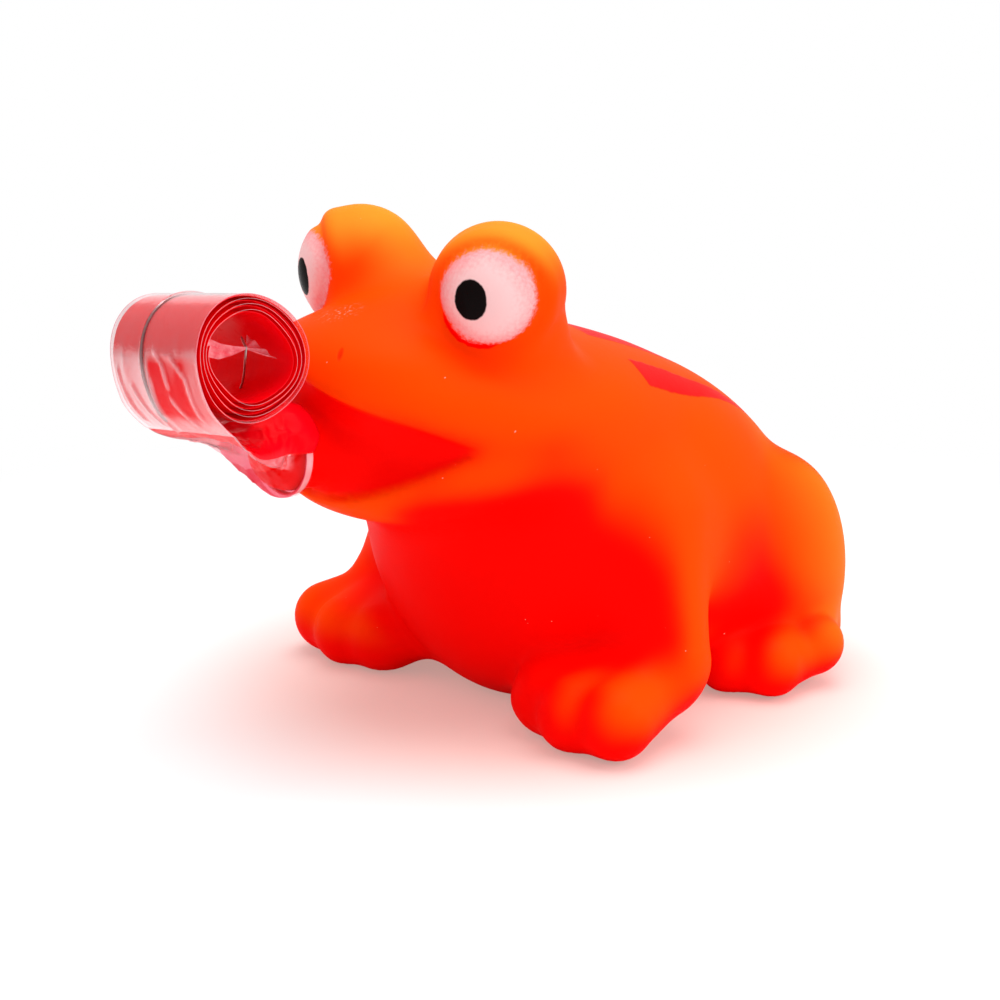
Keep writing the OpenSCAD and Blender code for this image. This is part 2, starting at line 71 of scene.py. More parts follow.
haunch_mid, haunch_size, haunch_fillet = (18.7, 23.9, 14), (17.4, 20.6, 33), 4
shoulder, wrist = np.array([20.2, -5, 25.9]), np.array([27.4, -7.9, 10.5])
shoulder_d, wrist_d, arm_fillet = 15, 10.8, 6
palm, fore_toe_d, fore_foot_l, fore_rise = np.array([26.3, -8.7, 4.9]), 9.8, 16.3, (0, 0, 0.25)
heel, hind_toe_d, hind_foot_l, hind_rise = np.array([20.4, 29, 4.8]), 8.4, 22.6, (0, -0.45, 0.25)
fore_splay = [(-0.815, -0.882, 0.02), (-0.29, -1, 0), (0.245, -0.9, 0.03)]
hind_splay = [(0.06, -1, -0.03), (0.34, -0.84, -0.02), (0.36, -0.385, 0.05)]
wrist_fillet, heel_fillet, toe_fillet, web = 3.4, 1.4, 0.9, 0.82
inner_fillet, inner_x, inner_z = 4.5, (14, 23), (3, 8)
behind_heel_fillet, behind_heel_y = 1.4, (heel[1] - 9, heel[1] - 1)

corner_z, mouth_back, mouth_w = 39.6, -28, 37.8
lip_rise, lip_drop, mouth_depth, mouth_round, corner_loss = 8.6, 7.2, 1.6, 1.2, 0.7
stub_root, stub_end, stub_d = np.array([0, -36.5, 39]), np.array([0, -46.5, 39]), 10
root_size, root_fillet, stub_fillet = (17.6, 16, 10.8), 3, 1.6

saddle_front, saddle_l, saddle_w = -4.4, 27, 18
blade_front, blade_l, blade_w, blade_x, blade_drift = -2.3, 26, 4, 16, 3.4

skin_half, skin_low, skin_high = 36, (-55, -1.2), (41, 68.5)
skin_cell, floor_round = 0.7, 0.8


def blend(a, b, k):
    """The lower of two distances, with a fillet of size k where they come close."""
    h = np.maximum(k - np.abs(a - b), 0)/k
    return np.minimum(a, b) - h*h*k/4


def carve(a, b, k):
    """The higher of two distances, with an edge rounding of size k."""
    return -blend(-a, -b, k)


def length(v):
    """The length of each vector."""
    return np.sqrt(np.einsum("...i,...i->...", v, v))


def smooth(x, start, end):
    """Goes from 0 at start to 1 at end, level at both."""
    t = np.clip((x - start)/(end - start), 0, 1)
    return t*t*(3 - 2*t)


def lump(p, mid, size, slope=0):
    """Distance to an ellipsoid sloped about X: k(k - 1) over k's steepness, with k 1 on its surface."""
    q = 2*(p - np.array(mid))
    c, n = np.cos(np.radians(slope)), np.sin(np.radians(slope))
    u = np.stack([q[..., 0], q[..., 1]*c + q[..., 2]*n, q[..., 2]*c - q[..., 1]*n], -1)/np.array(size)
    k = length(u)
    return k*(k - 1)/np.maximum(2*length(u/np.array(size)), 1e-6)


def limb(p, a, b, d_a, d_b):
    """Distance to a round limb from a to b, whose diameter goes evenly from d_a to d_b."""
    t = np.clip((p - a) @ (b - a)/((b - a) @ (b - a)), 0, 1)
    return length(p - a - t[..., None]*(b - a)) - (d_a + (d_b - d_a)*t)/2


def foot(p, root, splay, foot_l, toe_d, rise):
    """Distance to three toes, limbs from one raised instep to their tips on the floor; a lower bar
    between the tips fills the gaps."""
    tips = [root + (foot_l - toe_d/2)*np.array(t) for t in splay]
    instep = root + toe_d*np.array(rise)
    toes = [limb(p, instep, tip, toe_d, toe_d) for tip in tips]
    k = toe_fillet*(0.3 + 0.7*smooth(length(p - root), 0.3*foot_l, 0.7*foot_l))
    f = blend(blend(toes[0], toes[1], 1.6*k), toes[2], k)
    drop = np.array([0, 0, (1 - web)*toe_d/2])
    for a, b in zip(tips, tips[1:]):
        f = blend(f, limb(p, a - drop, b - drop, web*toe_d, web*toe_d), toe_fillet)
    return f


def between_lips(p):
    """Distance to the space between the lips: the lower lip is a parabola, the upper one almost
    straight with a crest in the middle."""
    x = 2*np.abs(p[..., 0])/mouth_w
    top = corner_z + lip_rise*(1 - 0.76*x - 0.24*x**6)
    low = corner_z - lip_drop*(1 - x*x)
    gap = carve(p[..., 2] - top, low - p[..., 2], mouth_round)
    return carve(gap, p[..., 1] - mouth_back, mouth_round)


def eye_angle(p, turn, tilt):
    """Angle in degrees between a point and an eye's axis, from the middle of the eye mound."""
    t, r = np.radians(turn), np.radians(tilt)
    axis = np.array([np.cos(r)*np.sin(t), -np.cos(r)*np.cos(t), np.sin(r)])
    d = p - mound_mid
    return np.degrees(np.arccos(np.clip(d @ axis/np.maximum(length(d), 1e-6), -1, 1)))


def hump(x, mid, width):
    """A smooth bell, 1 at mid and falling off over width."""
    return np.exp(-((x - mid)/width)**2)


def skin(points):
    """Distance to the frog's skin: its lumps, limbs, feet and stub filleted together, with the mouth
    cut back and all that is under the floor cut off."""
    p = np.concatenate([np.abs(points[..., :1]), points[..., 1:]], -1)
    trunk = lump(p, trunk_mid, trunk_size, trunk_slope)
    trunk = blend(trunk, lump(p, chest_mid, chest_size), trunk_fillet)
    head = lump(p, head_mid, head_size, snout_slope)
    head = blend(head, lump(p, jaw_mid, jaw_size, jaw_slope), jaw_fillet)
    head = blend(head, lump(p, brow_mid, brow_size), face_fillet)
    head = blend(head, lump(p, nose_mid, nose_size), face_fillet)
    f = blend(trunk, head, trunk_fillet)
    mound = length(p - mound_mid) - mound_r
    angle = eye_angle(p, white_turn, white_tilt)
    outer = 1 - smooth(eye_angle(p, outer_turn, outer_tilt), 15, 50)
    f = blend(f, mound, mound_fillet + behind_fillet*smooth(angle, 70, 125) + outer_fillet*outer)
    angle = angle + upper_lid*smooth(p[..., 2] - mound_mid[2], 0, 6)
    lids = groove_depth*hump(angle, groove_angle, groove_width)
    lids = lids - lid_rise*hump(angle, lid_angle, lid_width)
    f = f + lids*hump(mound, 0, lid_reach)
    f = blend(f, lump(p, haunch_mid, haunch_size), haunch_fillet)
    f = blend(f, limb(p, shoulder, wrist, shoulder_d, wrist_d), arm_fillet)
    inner_side = (1 - smooth(p[..., 0], *inner_x))*(1 - smooth(p[..., 2], *inner_z))
    fore_foot = foot(p, palm, fore_splay, fore_foot_l, fore_toe_d, fore_rise)
    f = blend(f, fore_foot, wrist_fillet + inner_fillet*inner_side)
    heel_round = heel_fillet + behind_heel_fillet*smooth(p[..., 1], *behind_heel_y)
    hind_foot = foot(p, heel, hind_splay, hind_foot_l, hind_toe_d, hind_rise)
    hind_foot = blend(hind_foot, length(p - heel) - hind_toe_d/2, 2*toe_fillet)
    f = blend(f, hind_foot, heel_round)
    depth = mouth_depth*(1 - corner_loss*np.clip(2*p[..., 0]/mouth_w, 0, 1)**2)
    f = carve(f, blend(-between_lips(p), f + depth, mouth_round), mouth_round)
    stub = lump(p, stub_root, root_size)
    stub = blend(stub, limb(p, stub_root, stub_end, stub_d, stub_d), root_fillet)
    f = blend(f, stub, stub_fillet)
    return carve(f, -p[..., 2], floor_round)


def steepness(field, p, reach=0.04):
    """How a field rises along X, Y and Z at each point."""
    steps = reach*np.eye(3)
    return np.stack([field(p + d) - field(p - d) for d in steps], -1)/(2*reach)


def closed_surface(field, half, low, high, cell):
    """The surface where a field that is the same for x and -x is 0: one point in each cell of a grid
    that it passes, and one face on each edge of the grid that it cuts, then moved on to the surface."""
    xs = np.arange(0, half + cell, cell)
    ys = np.arange(low[0], high[0] + cell, cell)
    zs = np.arange(low[1], high[1] + cell, cell)
    values = field(np.stack(np.meshgrid(xs, ys, zs, indexing="ij"), -1))
    values = np.concatenate([values[:0:-1], values])
    xs = np.concatenate([-xs[:0:-1], xs])
    low_corner = np.array([xs[0], ys[0], zs[0]])
    # Where only two opposite corners of a grid square are inside, the surface would pinch, so the
    # square is filled
    for a, b in ((0, 1), (0, 2), (1, 2)):
        v = np.moveaxis(values, (a, b), (0, 1))
        inside = v < 0
        one = inside[:-1, :-1] & inside[1:, 1:] & ~inside[1:, :-1] & ~inside[:-1, 1:]
        two = ~inside[:-1, :-1] & ~inside[1:, 1:] & inside[1:, :-1] & inside[:-1, 1:]
        v[1:, :-1][one] = v[:-1, 1:][one] = -cell/100
        v[:-1, :-1][two] = v[1:, 1:][two] = -cell/100
    inside = values < 0
    count = inside[:-1, :-1, :-1].astype(np.int8)
    for i, j, k in np.ndindex(2, 2, 2):
        if i + j + k:
            part = [slice(1, None) if o else slice(None, -1) for o in (i, j, k)]
            count = count + inside[tuple(part)]
    passed = (count > 0) & (count < 8)
    number = np.full(passed.shape, -1)
    number[passed] = np.arange(passed.sum())
    points = low_corner + cell*(np.argwhere(passed) + 0.5)
    faces = []
    for a in range(3):
        b, c = (a + 1) % 3, (a + 2) % 3
        first = [slice(1, -1)]*3
        second = [slice(1, -1)]*3
        first[a], second[a] = slice(None, -1), slice(1, None)
        cut = np.argwhere(inside[tuple(first)] != inside[tuple(second)])
        leaves = inside[tuple(first)][tuple(cut.T)]
        cut[:, [b, c]] += 1
        around = []
        for back_b, back_c in ((1, 1), (0, 1), (0, 0), (1, 0)):
            cell_at = cut.copy()
            cell_at[:, b] -= back_b
            cell_at[:, c] -= back_c
            around.append(number[tuple(cell_at.T)])
        quads = np.stack(around, -1)
        quads[~leaves] = quads[~leaves][:, ::-1]
        faces.append(quads)
    faces = np.concatenate(faces)
    corners = faces.ravel()
    count = np.bincount(corners, minlength=len(points))[:, None]
    for pull, relax in ((0.6, 0), (0.9, 0.5), (0.9, 0.5), (0.9, 0.4), (0.9, 0), (1, 0)):
        g = steepness(field, points)
        points = points - g*(pull*field(points)/np.maximum((g*g).sum(-1), 0.2))[:, None]
        middles = np.repeat(points[faces].mean(1), 4, axis=0)
        mean = np.stack([np.bincount(corners, m, len(points)) for m in middles.T], -1)/count
        points = points + relax*(mean - points)
    return points, faces


class Tone:
    """A shader's socket. Arithmetic on it adds Math nodes, and node() adds any other node."""

    def __init__(self, tree, socket=None):
        self.tree = tree
        self.socket = socket

    def node(self, kind, settings=None, sockets=None, out=0):
        made = self.tree.nodes.new(kind)
        for name, value in (settings or {}).items():
            setattr(made, name, value)
        for name, value in (sockets or {}).items():
            if isinstance(value, Tone):
                self.tree.links.new(value.socket, made.inputs[name])
            else:
                made.inputs[name].default_value = value
        return Tone(self.tree, made.outputs[out])

    def into(self, shader, name):
        self.tree.links.new(self.socket, shader.inputs[name])

    def math(self, operation, a, b):
        return self.node("ShaderNodeMath", {"operation": operation}, {0: a, 1: b})

    def __add__(self, other):
        return self.math("ADD", self, other)

    def __sub__(self, other):
        return self.math("SUBTRACT", self, other)

    def __rsub__(self, other):
        return self.math("SUBTRACT", other, self)

    def __mul__(self, other):
        return self.math("MULTIPLY", self, other)

    def highest(self, other):
        return self.math("MAXIMUM", self, other)

    def step(self, start, end):
        """0 up to start and 1 from end on, smooth between."""
        return self.node("ShaderNodeMapRange", {"interpolation_type": "SMOOTHSTEP"},
                         {"Value": self, "From Min": start, "From Max": end})

    def tint(self, a, b):
        """The colour a where this is 0 and b where it is 1."""
        return self.node("ShaderNodeMix", {"data_type": "RGBA"}, {0: self, 6: a, 7: b}, 2)

    def noise(self, place, scale, detail=2.0):
        """Cloudy noise from 0 to 1, with lumps of about 1/scale metres."""
        return self.node("ShaderNodeTexNoise", {}, {"Vector": place, "Scale": scale, "Detail": detail})

    def attribute(self, name):
        """A value stored on the mesh."""
        return self.node("ShaderNodeAttribute", {"attribute_name": name}, {}, "Fac")

    def bump(self, height, distance, strength=1.0):
        """A surface normal tilted by a height of the given distance in metres."""
        return self.node("ShaderNodeBump", {},
                         {"Height": height, "Distance": distance, "Strength": strength})

    def vector(self, operation, a, b=(0, 0, 0), out="Vector"):
        """One step of vector arithmetic on one or two vectors; it gives a vector or a value."""
        return self.node("ShaderNodeVectorMath", {"operation": operation}, {0: a, 1: b}, out)


def new_finish(name, **values):
    """A material with one shader, its even values set on the sockets, and its nodes to draw with."""
    material = bpy.data.materials.new(name)
    material.use_nodes = True
    shader = material.node_tree.nodes["Principled BSDF"]
    for socket, value in values.items():
        shader.inputs[socket.replace("_", " ")].default_value = value
    tone = Tone(material.node_tree)
    place = tone.node("ShaderNodeTexCoord", out="Object")
    return material, shader, tone, place


def make_piece(name, points, faces, material, attributes=None, sharp=None):
    """A mesh from points in millimetres, smooth all over or up to an angle, with values kept at each
    point."""
    mesh = bpy.data.meshes.new(name)
    mesh.from_pydata((points*mm).tolist(), [], faces.tolist(), shade_flat=False)
    for key, values in (attributes or {}).items():
        mesh.attributes.new(key, "FLOAT", "POINT").data.foreach_set("value", values.astype(np.float32))
    if sharp:
        mesh.set_sharp_from_angle(angle=np.radians(sharp))
    mesh.materials.append(material)
    piece = bpy.data.objects.new(name, mesh)
    bpy.context.scene.collection.objects.link(piece)
    return piece


frog_points, frog_faces = closed_surface(skin, skin_half, skin_low, skin_high, skin_cell)
frog_normals = steepness(skin, frog_points)
frog_normals /= np.maximum(length(frog_normals), 1e-6)[:, None]
frog_side = np.concatenate([np.abs(frog_points[:, :1]), frog_points[:, 1:]], -1)

# How closed in each point is: the share of a few steps along its normal that skin and floor take away
closed_in = np.zeros(len(frog_points))
for step, weight in ((1.5, 0.2), (4, 0.3), (9, 0.3), (18, 0.2)):
    away = frog_points + step*frog_normals
    free = np.minimum(skin(away), away[:, 2])
    closed_in += weight*np.clip(1 - free/step, 0, 1)


def patch_edge(p):
    """Distance outside the patches on the back: one rounded in the middle and a blade on each side."""
    x, y = np.abs(p[:, 0]), p[:, 1]
    u = (y - saddle_front)/saddle_l
    half = saddle_w/2*np.sqrt(np.clip(1 - 0.94*u*u, 0, 1))
    saddle = np.maximum(x - half, np.maximum(saddle_front - y, y - saddle_front - saddle_l))
    u = np.clip((y - blade_front)/blade_l, 0, 1)
    half = blade_w/2*(1 - 0.92*u*u)
    blade = np.abs(x - blade_x + blade_drift*u) - half
    blade = np.maximum(blade, np.maximum(blade_front - y, y - blade_front - blade_l))
    return np.where(p[:, 2] > trunk_mid[2], np.minimum(saddle, blade), 9)


def cap_edge(p, turn, tilt, r, tall=1):
    """Distance outside an oval patch on an eye mound, along the mound; off the mound it grows fast."""
    t, e = np.radians(turn), np.radians(tilt)
    side = np.array([np.cos(t), np.sin(t), 0])
    rise = np.array([-np.sin(e)*np.sin(t), np.sin(e)*np.cos(t), np.cos(e)])
    d = p - mound_mid
    wide, high = d @ side, d @ rise
    oval = np.sqrt((wide*wide + (high/tall)**2 + 1e-9)/(wide*wide + high*high + 1e-9))
    off = 4*np.maximum(length(d) - 1.04*mound_r, 0)
    return np.radians(eye_angle(p, turn, tilt)*oval - np.degrees(np.arcsin(r/mound_r)))*mound_r + off


def soften(values, passes):
    """Spreads each point's value over its neighbours, a little in each pass."""
    count = np.bincount(frog_faces.ravel(), minlength=len(values))
    for _ in range(passes):
        middles = np.repeat(values[frog_faces].mean(1), 4)
        values = np.bincount(frog_faces.ravel(), middles, len(values))/count
    return values


# The vinyl is painted redder as shade where it is closed in, under the chin and belly, on the flanks and
# on the low front, there less so on its right half. It is painted paler as light on top of the eyes and
# at the sides of the rear
frog_y, frog_z = frog_points[:, 1], frog_points[:, 2]
outward = frog_normals[:, 0]*np.sign(frog_points[:, 0])
side_on = smooth(outward, 0.5, 0.9)
chin = smooth(-frog_y, 22, 31)*smooth(frog_z, 24, 31)
outer_toes = smooth(outward, -0.1, 0.6)*(1 - smooth(frog_z, 9, 14))
arm = side_on*(1 - smooth(frog_y, 0, 6))
low_front = smooth(-frog_normals[:, 1], -0.05 - 0.05*arm, 0.85 - 0.3*arm)
low_front = low_front*(1 - smooth(frog_z + 6*arm, 24, 42))
low_front = low_front*(1 - chin)*(1 - 0.8*outer_toes)*(1 - 0.6*side_on*smooth(frog_y, 12, 18))
low_front = low_front*(1 - 0.68*smooth(-frog_points[:, 0], -5, 9))
flank = side_on*hump(frog_y, 10, 6)*smooth(frog_z, 7, 12)*(1 - smooth(frog_z, 20, 33))
chin = chin*(1 - 0.85*smooth(frog_side[:, 0], 4, 16))
by_arm = side_on*smooth(frog_y, -4, 1)*(1 - smooth(frog_y, 8, 13))
under = smooth(-frog_normals[:, 2] - chin - 0.3*outer_toes - 0.3*by_arm, -0.15, 0.5)
under = under*(1 - smooth(frog_z, 40, 50))
shut_in = 1.5*closed_in*(1 - 0.6*smooth(frog_z, 44, 56))*(1 - 0.6*chin)
painted_shade = soften(np.clip(low_front + under + 0.8*flank + shut_in - 0.1, 0, 1), 8)
painted_light = smooth(frog_normals[:, 2], -0.1, 0.8)*smooth(frog_z, 55, 66)
painted_light = np.maximum(painted_light, 0.5*smooth(frog_y, 15, 30)*smooth(outward, 0.3, 0.8))

# The right eye is painted a little lower and further to the front than the left one
left_white = white_turn, white_tilt, white_r
right_white = white_turn - 14, white_tilt - 6, white_r - 0.2
left_pupil = pupil_turn, pupil_tilt, pupil_r, pupil_tall
right_pupil = pupil_turn - 5, pupil_tilt - 4, pupil_r, pupil_tall
on_right = frog_points[:, 0] < 0
white_edge = np.where(on_right, cap_edge(frog_side, *right_white), cap_edge(frog_side, *left_white))
pupil_edge = np.where(on_right, cap_edge(frog_side, *right_pupil), cap_edge(frog_side, *left_pupil))
on_mound = 1 - smooth(length(frog_side - mound_mid)/mound_r, 1.03, 1.1)
# The crease under each eye is painted as shade, deepest on the inner side, below the white
inner_low = np.array([-0.34, -0.37, -0.87])
below = smooth((frog_side - mound_mid) @ inner_low, 3.5, 6)
lid = 1 - np.abs(eye_angle(frog_side, white_turn, white_tilt) - groove_angle + 4)/6.5
crease = lid + 2*(on_mound - 1) + 1.5*(below - 1)
paint_edges = {
    "white_edge": np.minimum(white_edge + 0.8*below + 0.35*smooth(frog_z - mound_mid[2], 2, 6), 9),
    "pupil_edge": np.minimum(pupil_edge, 9),
    "crease": np.clip(crease, -1, 1),
    "mouth_edge": soften(between_lips(frog_points), 2),
    "patch_edge": patch_edge(frog_points),
    "painted_shade": painted_shade,
    "painted_light": painted_light,
}

vinyl, shader, tone, place = new_finish("soft_orange_vinyl", Specular_IOR_Level=0.014)
# The paler orange is painted light and the deep red is painted shade
orange, lit_orange, shaded_red = (0.98, 0.054, 0, 1), (0.98, 0.22, 0.014, 1), (0.95, 0.001, 0, 1)
mouth_red, patch_red = (0.94, 0.001, 0, 1), (0.92, 0.002, 0.002, 1)
nostril_shade_red, dust_pink = (0.6, 0.008, 0, 1), (0.95, 0.5, 0.4, 1)
eye_white, eye_pink, eye_black = (0.88, 0.53, 0.53, 1), (0.86, 0.27, 0.28, 1), (0.006, 0.004, 0.004, 1)

cloud = tone.noise(place, 70)
grain = tone.noise(place, 2600, 3)
ragged = tone.noise(place, 900, 3)
wavy = tone.noise(place, 260)
crease_shade = tone.attribute("crease").step(0.1, 0.5)
# Painted shade turns the skin red where it is closed in, low at the front and in the eye creases;
# painted light turns it paler
shade = (tone.attribute("painted_shade") + (cloud - 0.5)*0.12).step(0, 1).highest(crease_shade)
skin_tone = shade.tint(tone.attribute("painted_light").tint(orange, lit_orange), shaded_red)
mouth = 1 - (tone.attribute("mouth_edge") + (ragged - 0.5)*0.2).step(-1.1, 0.7)
patch = 1 - (tone.attribute("patch_edge") + (ragged - 0.5)*0.5).step(-0.15, 0.15)
speckle = tone.noise(place, 2400)
white_rim = tone.attribute("white_edge") + (wavy - 0.5)*0.9
white = 1 - (white_rim + (speckle - 0.5)*1.7).step(-0.75, 0.4)
pupil = 1 - (tone.attribute("pupil_edge") + (ragged - 0.5)*0.25).step(-0.1, 0.1)
thin_white = (white_rim + (cloud - 0.5)*3 + (speckle - 0.5)*2.5).step(-3.5, 0.2)
# Each nostril is a thin dimple painted darker red as shade; the top of the snout is scuffed, and dust
# lies here and there
nostril_at, nostril_slant, nostril_area = (0.0061, 0.0431, 0.0511), (-0.37, -0.59, 0.72), 2e-7
scuff_at, scuff_r = (-0.0015, -0.0371, 0.0546), 0.004
from_nostril = tone.vector("SUBTRACT", tone.vector("ABSOLUTE", place), nostril_at)
along = tone.vector("DOT_PRODUCT", from_nostril, nostril_slant, "Value")
reach = tone.vector("LENGTH", from_nostril, out="Value")
nostril = 1 - (reach*reach - along*along*0.86).step(0, nostril_area)
from_scuff = tone.vector("DISTANCE", place, scuff_at, "Value")
scuff = (1 - from_scuff.step(0, scuff_r))*tone.noise(place, 2200, 3).step(0.55, 0.7)
dust = tone.noise(place, 1300, 1).step(0.82, 0.84)
skin_tone = (nostril*0.7).tint(skin_tone, nostril_shade_red)
skin_tone = (scuff*0.45).highest(dust*0.5).tint(skin_tone, dust_pink)
tinted = mouth.tint(skin_tone, mouth_red)
tinted = patch.tint(tinted, patch_red)
tinted = white.tint(tinted, thin_white.tint(eye_white, eye_pink))
tinted = pupil.tint(tinted, eye_black)
tinted.into(shader, "Base Color")
painted = mouth.highest(patch).highest(white)
rough = (grain - 0.5)*0.12 + 0.5 - painted*0.1 - pupil*0.16
rough.into(shader, "Roughness")
height = grain*0.25 + wavy*0.75 + painted*0.6 + pupil*0.5 - nostril*1.5
tone.bump(height, 0.00012, 0.5).into(shader, "Normal")

frog = make_piece("frog_body", frog_points, frog_faces, vinyl, paint_edges)
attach(frog, "frog")
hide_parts("body_shell", "mouth_coat", "eye_white_left", "eye_white_right",
            "pupil_left", "pupil_right", "back_patch_centre", "back_patch_left", "back_patch_right")


# A narrow band of pale pinkish film is wound round the end of the stub, and the tongue's
# film is fixed on it. It was pulled tight, so its edges are a little wavy.
cuff_mid, cuff_r, cuff_w, cuff_t, cuff_wave = np.array([0, -47.4, 39]), 5.15, 1.0, 0.35, 0.06
tape_pink, tape_white = (0.85, 0.42, 0.44, 1), (0.95, 0.72, 0.73, 1)


def ring_band(turn, around, mid, r, w, t):
    """A band about an axis along Y: a rounded oblong section, carried round a circle, with three
    low waves."""
    c, s = np.cos(around), np.sin(around)
    out = r + t/2 + t/2*np.sign(c)*np.abs(c)**0.5
    along = w/2*np.sign(s)*np.abs(s)**0.5 + cuff_wave*np.sin(3*turn)
    return np.stack([out*np.cos(turn), along, out*np.sin(turn)], -1) + mid


def wrapped_grid(rows, cols, closed_rows=False):
    """Faces of a grid of points, row by row: each row is closed to a loop, and the last row is joined
    to the first one if asked."""
    bands = rows if closed_rows else rows - 1
    i, j = np.meshgrid(np.arange(bands), np.arange(cols), indexing="ij")
    i2, j2 = (i + 1) % rows, (j + 1) % cols
    return np.stack([i*cols + j, i2*cols + j, i2*cols + j2, i*cols + j2], -1).reshape(-1, 4)


turns, sides = 96, 12
turn, around = np.meshgrid(np.arange(turns)*2*np.pi/turns, np.arange(sides)*2*np.pi/sides, indexing="ij")
cuff_points = ring_band(turn, around, cuff_mid, cuff_r, cuff_w, cuff_t).reshape(-1, 3)
pale_film, shader, tone, place = new_finish("pale_pink_film", Specular_IOR_Level=0.5, Coat_Weight=0.4)
streak = tone.noise(place, 800, 3)
streak.tint(tape_pink, tape_white).into(shader, "Base Color")
(streak*0.2 + 0.12).into(shader, "Roughness")
tone.bump(streak, 0.0001, 0.6).into(shader, "Normal")
cuff = make_piece("tongue_cuff_band", cuff_points, wrapped_grid(turns, sides, True), pale_film)
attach(cuff, "frog")
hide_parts("tongue_cuff")


# The tongue's neck is a flat tube of two thin plastic films, a clear one below and a red one
# above. It is round where it sits over the cuff, pressed flat at the roll, and crumpled between.
neck_l, film_low, film_high, film_drop = 13.7, -9.1, 10.6, 1.05
flat_t, film_slope, cuff_lead, roll_lead = 0.13, np.radians(26), 4.5, 4.8
sleeve_gap, overlap, more_on_top = 0.2, 0.4, 1.4
left_hang, neck_cling, ply_t = -5, 0.93, 0.07
tongue_lean, tongue_rise, tongue_turn = 7, 22, 5


def swing(v, share):
    """Turns vectors by a share of the tongue's lean about Y, its rise about X and its turn about Z."""
    l, r, t = (np.radians(a)*share for a in (tongue_lean, tongue_rise, tongue_turn))
    x, y, z = v[..., 0], v[..., 1], v[..., 2]
    x, z = x*np.cos(l) - z*np.sin(l), x*np.sin(l) + z*np.cos(l)
    y, z = y*np.cos(r) + z*np.sin(r), z*np.cos(r) - y*np.sin(r)
    return np.stack([x*np.cos(t) + y*np.sin(t), y*np.cos(t) - x*np.sin(t), z], -1)


across, forward, upward = (swing(np.array(v, float), 1) for v in ((1, 0, 0), (0, -1, 0), (0, 0, 1)))


def crumple(u, v, count, seed):
    """Creases over two parameters: a sum of waves with sharp crests, of random direction, phase and
    length, divided by the root of their number."""
    draw = np.random.default_rng(seed)
    total = np.zeros(np.broadcast(u, v).shape)
    for _ in range(count):
        angle, phase, tight = draw.uniform(0, np.pi), draw.uniform(0, 2*np.pi), draw.uniform(0.6, 1.6)
        wave = np.sin(tight*(np.cos(angle)*u + np.sin(angle)*v) + phase)
        total += 1 - 2*np.sqrt(np.abs(wave))
    return total/np.sqrt(count)


def bezier(s, a, b, c, d):
    """A curve from a to d that sets out towards b and comes in from c."""
    return (1 - s)**3*a + 3*s*(1 - s)**2*b + 3*s*s*(1 - s)*c + s**3*d


def neck_sleeve(t, a, inset):
    """A ring carried along a curve from the cuff to the roll: it widens and flattens on the way, with
    creases. The curve goes straight out of the stub, dips and then rises, and the left edge hangs
    lower on the way."""
    over = smooth(np.sin(a), 0.05, 0.5)
    start = cuff_mid + np.stack([0*a, overlap + more_on_top*over, 0*a], -1)
    finish = cuff_mid + neck_l*forward - film_drop*upward + (film_low + film_high)/2*across
    before = finish - roll_lead*(np.cos(film_slope)*forward + np.sin(film_slope)*upward)
    mid = bezier(t[..., None], start, cuff_mid - [0, cuff_lead, 0], before, finish)
    r = cuff_r + cuff_t + sleeve_gap
    wide = r + ((film_high - film_low)/2 - r)*smooth(t, 0.15, 1)
    flat = np.where(np.sin(a) > 0, smooth(t, 0.16, 1.1)/smooth(1, 0.16, 1.1), smooth(t, 0.06, 0.62))
    high = flat_t + (r - flat_t)*(1 - flat)
    crease = neck_creases(t, a)
    ring = np.stack([(wide + crease - inset)*np.cos(a), 0*a, (high + crease - inset)*np.sin(a)], -1)
    hang = np.radians(left_hang*hump(t, 0.5, 0.25))
    lower = ring[..., 2] + ring[..., 0]*np.sin(hang)
    ring = np.stack([ring[..., 0]*np.cos(hang), ring[..., 1], lower], -1)
    return mid + swing(ring, t)


def neck_creases(t, a):
    """Heights of the creases of the neck, none at its two ends."""
    fade = smooth(t, 0.08, 0.25)*smooth(1 - t, 0, 0.2)
    return fade*(0.22*crumple(4*a, 9*t, 5, 4) + 0.12*crumple(9*a, 22*t, 5, 5))


rows, cols = 72, 144
t, a = np.meshgrid(np.linspace(0, 1, rows), (np.arange(cols) + 0.5)*2*np.pi/cols, indexing="ij")
neck_points = np.concatenate([neck_sleeve(t, a, inset).reshape(-1, 3) for inset in (0, ply_t)])
outer = wrapped_grid(rows, cols)
inner = outer[:, ::-1] + rows*cols
ring = np.arange(cols)
after = (ring + 1) % cols
back_rim = np.stack([ring, after, after + rows*cols, ring + rows*cols], -1)
last = (rows - 1)*cols
front_rim = np.stack([after, ring, ring + rows*cols, after + rows*cols], -1) + last
neck_faces = np.concatenate([outer, inner, back_rim, front_rim])
# Each side's fold, and faintly each crease crest, is painted pale as a highlight. The lower half of the
# sleeve is the clear film, tinted rosy just past the band, where its plies lie close together; the tint
# is partly painted shade
side_folds = smooth(np.abs(np.cos(a)), 0.93, 0.995)*smooth(t, 0.15, 0.35)*0.6
fold_highlight = side_folds + smooth(neck_creases(t, a), 0.25, 0.5)*0.06
fold_highlight = np.tile(np.clip(fold_highlight, 0, 1).ravel(), 2)
lower_half = np.sin(a[0]) < 0.12
neck_clear = lower_half[neck_faces[:, 0] % cols]
ring_row = neck_faces[:, 0] % (rows*cols)//cols
rosy_from, rosy_to = 0.06*rows, 0.38*rows
past_band = (ring_row > rosy_from) & (ring_row < rosy_to)


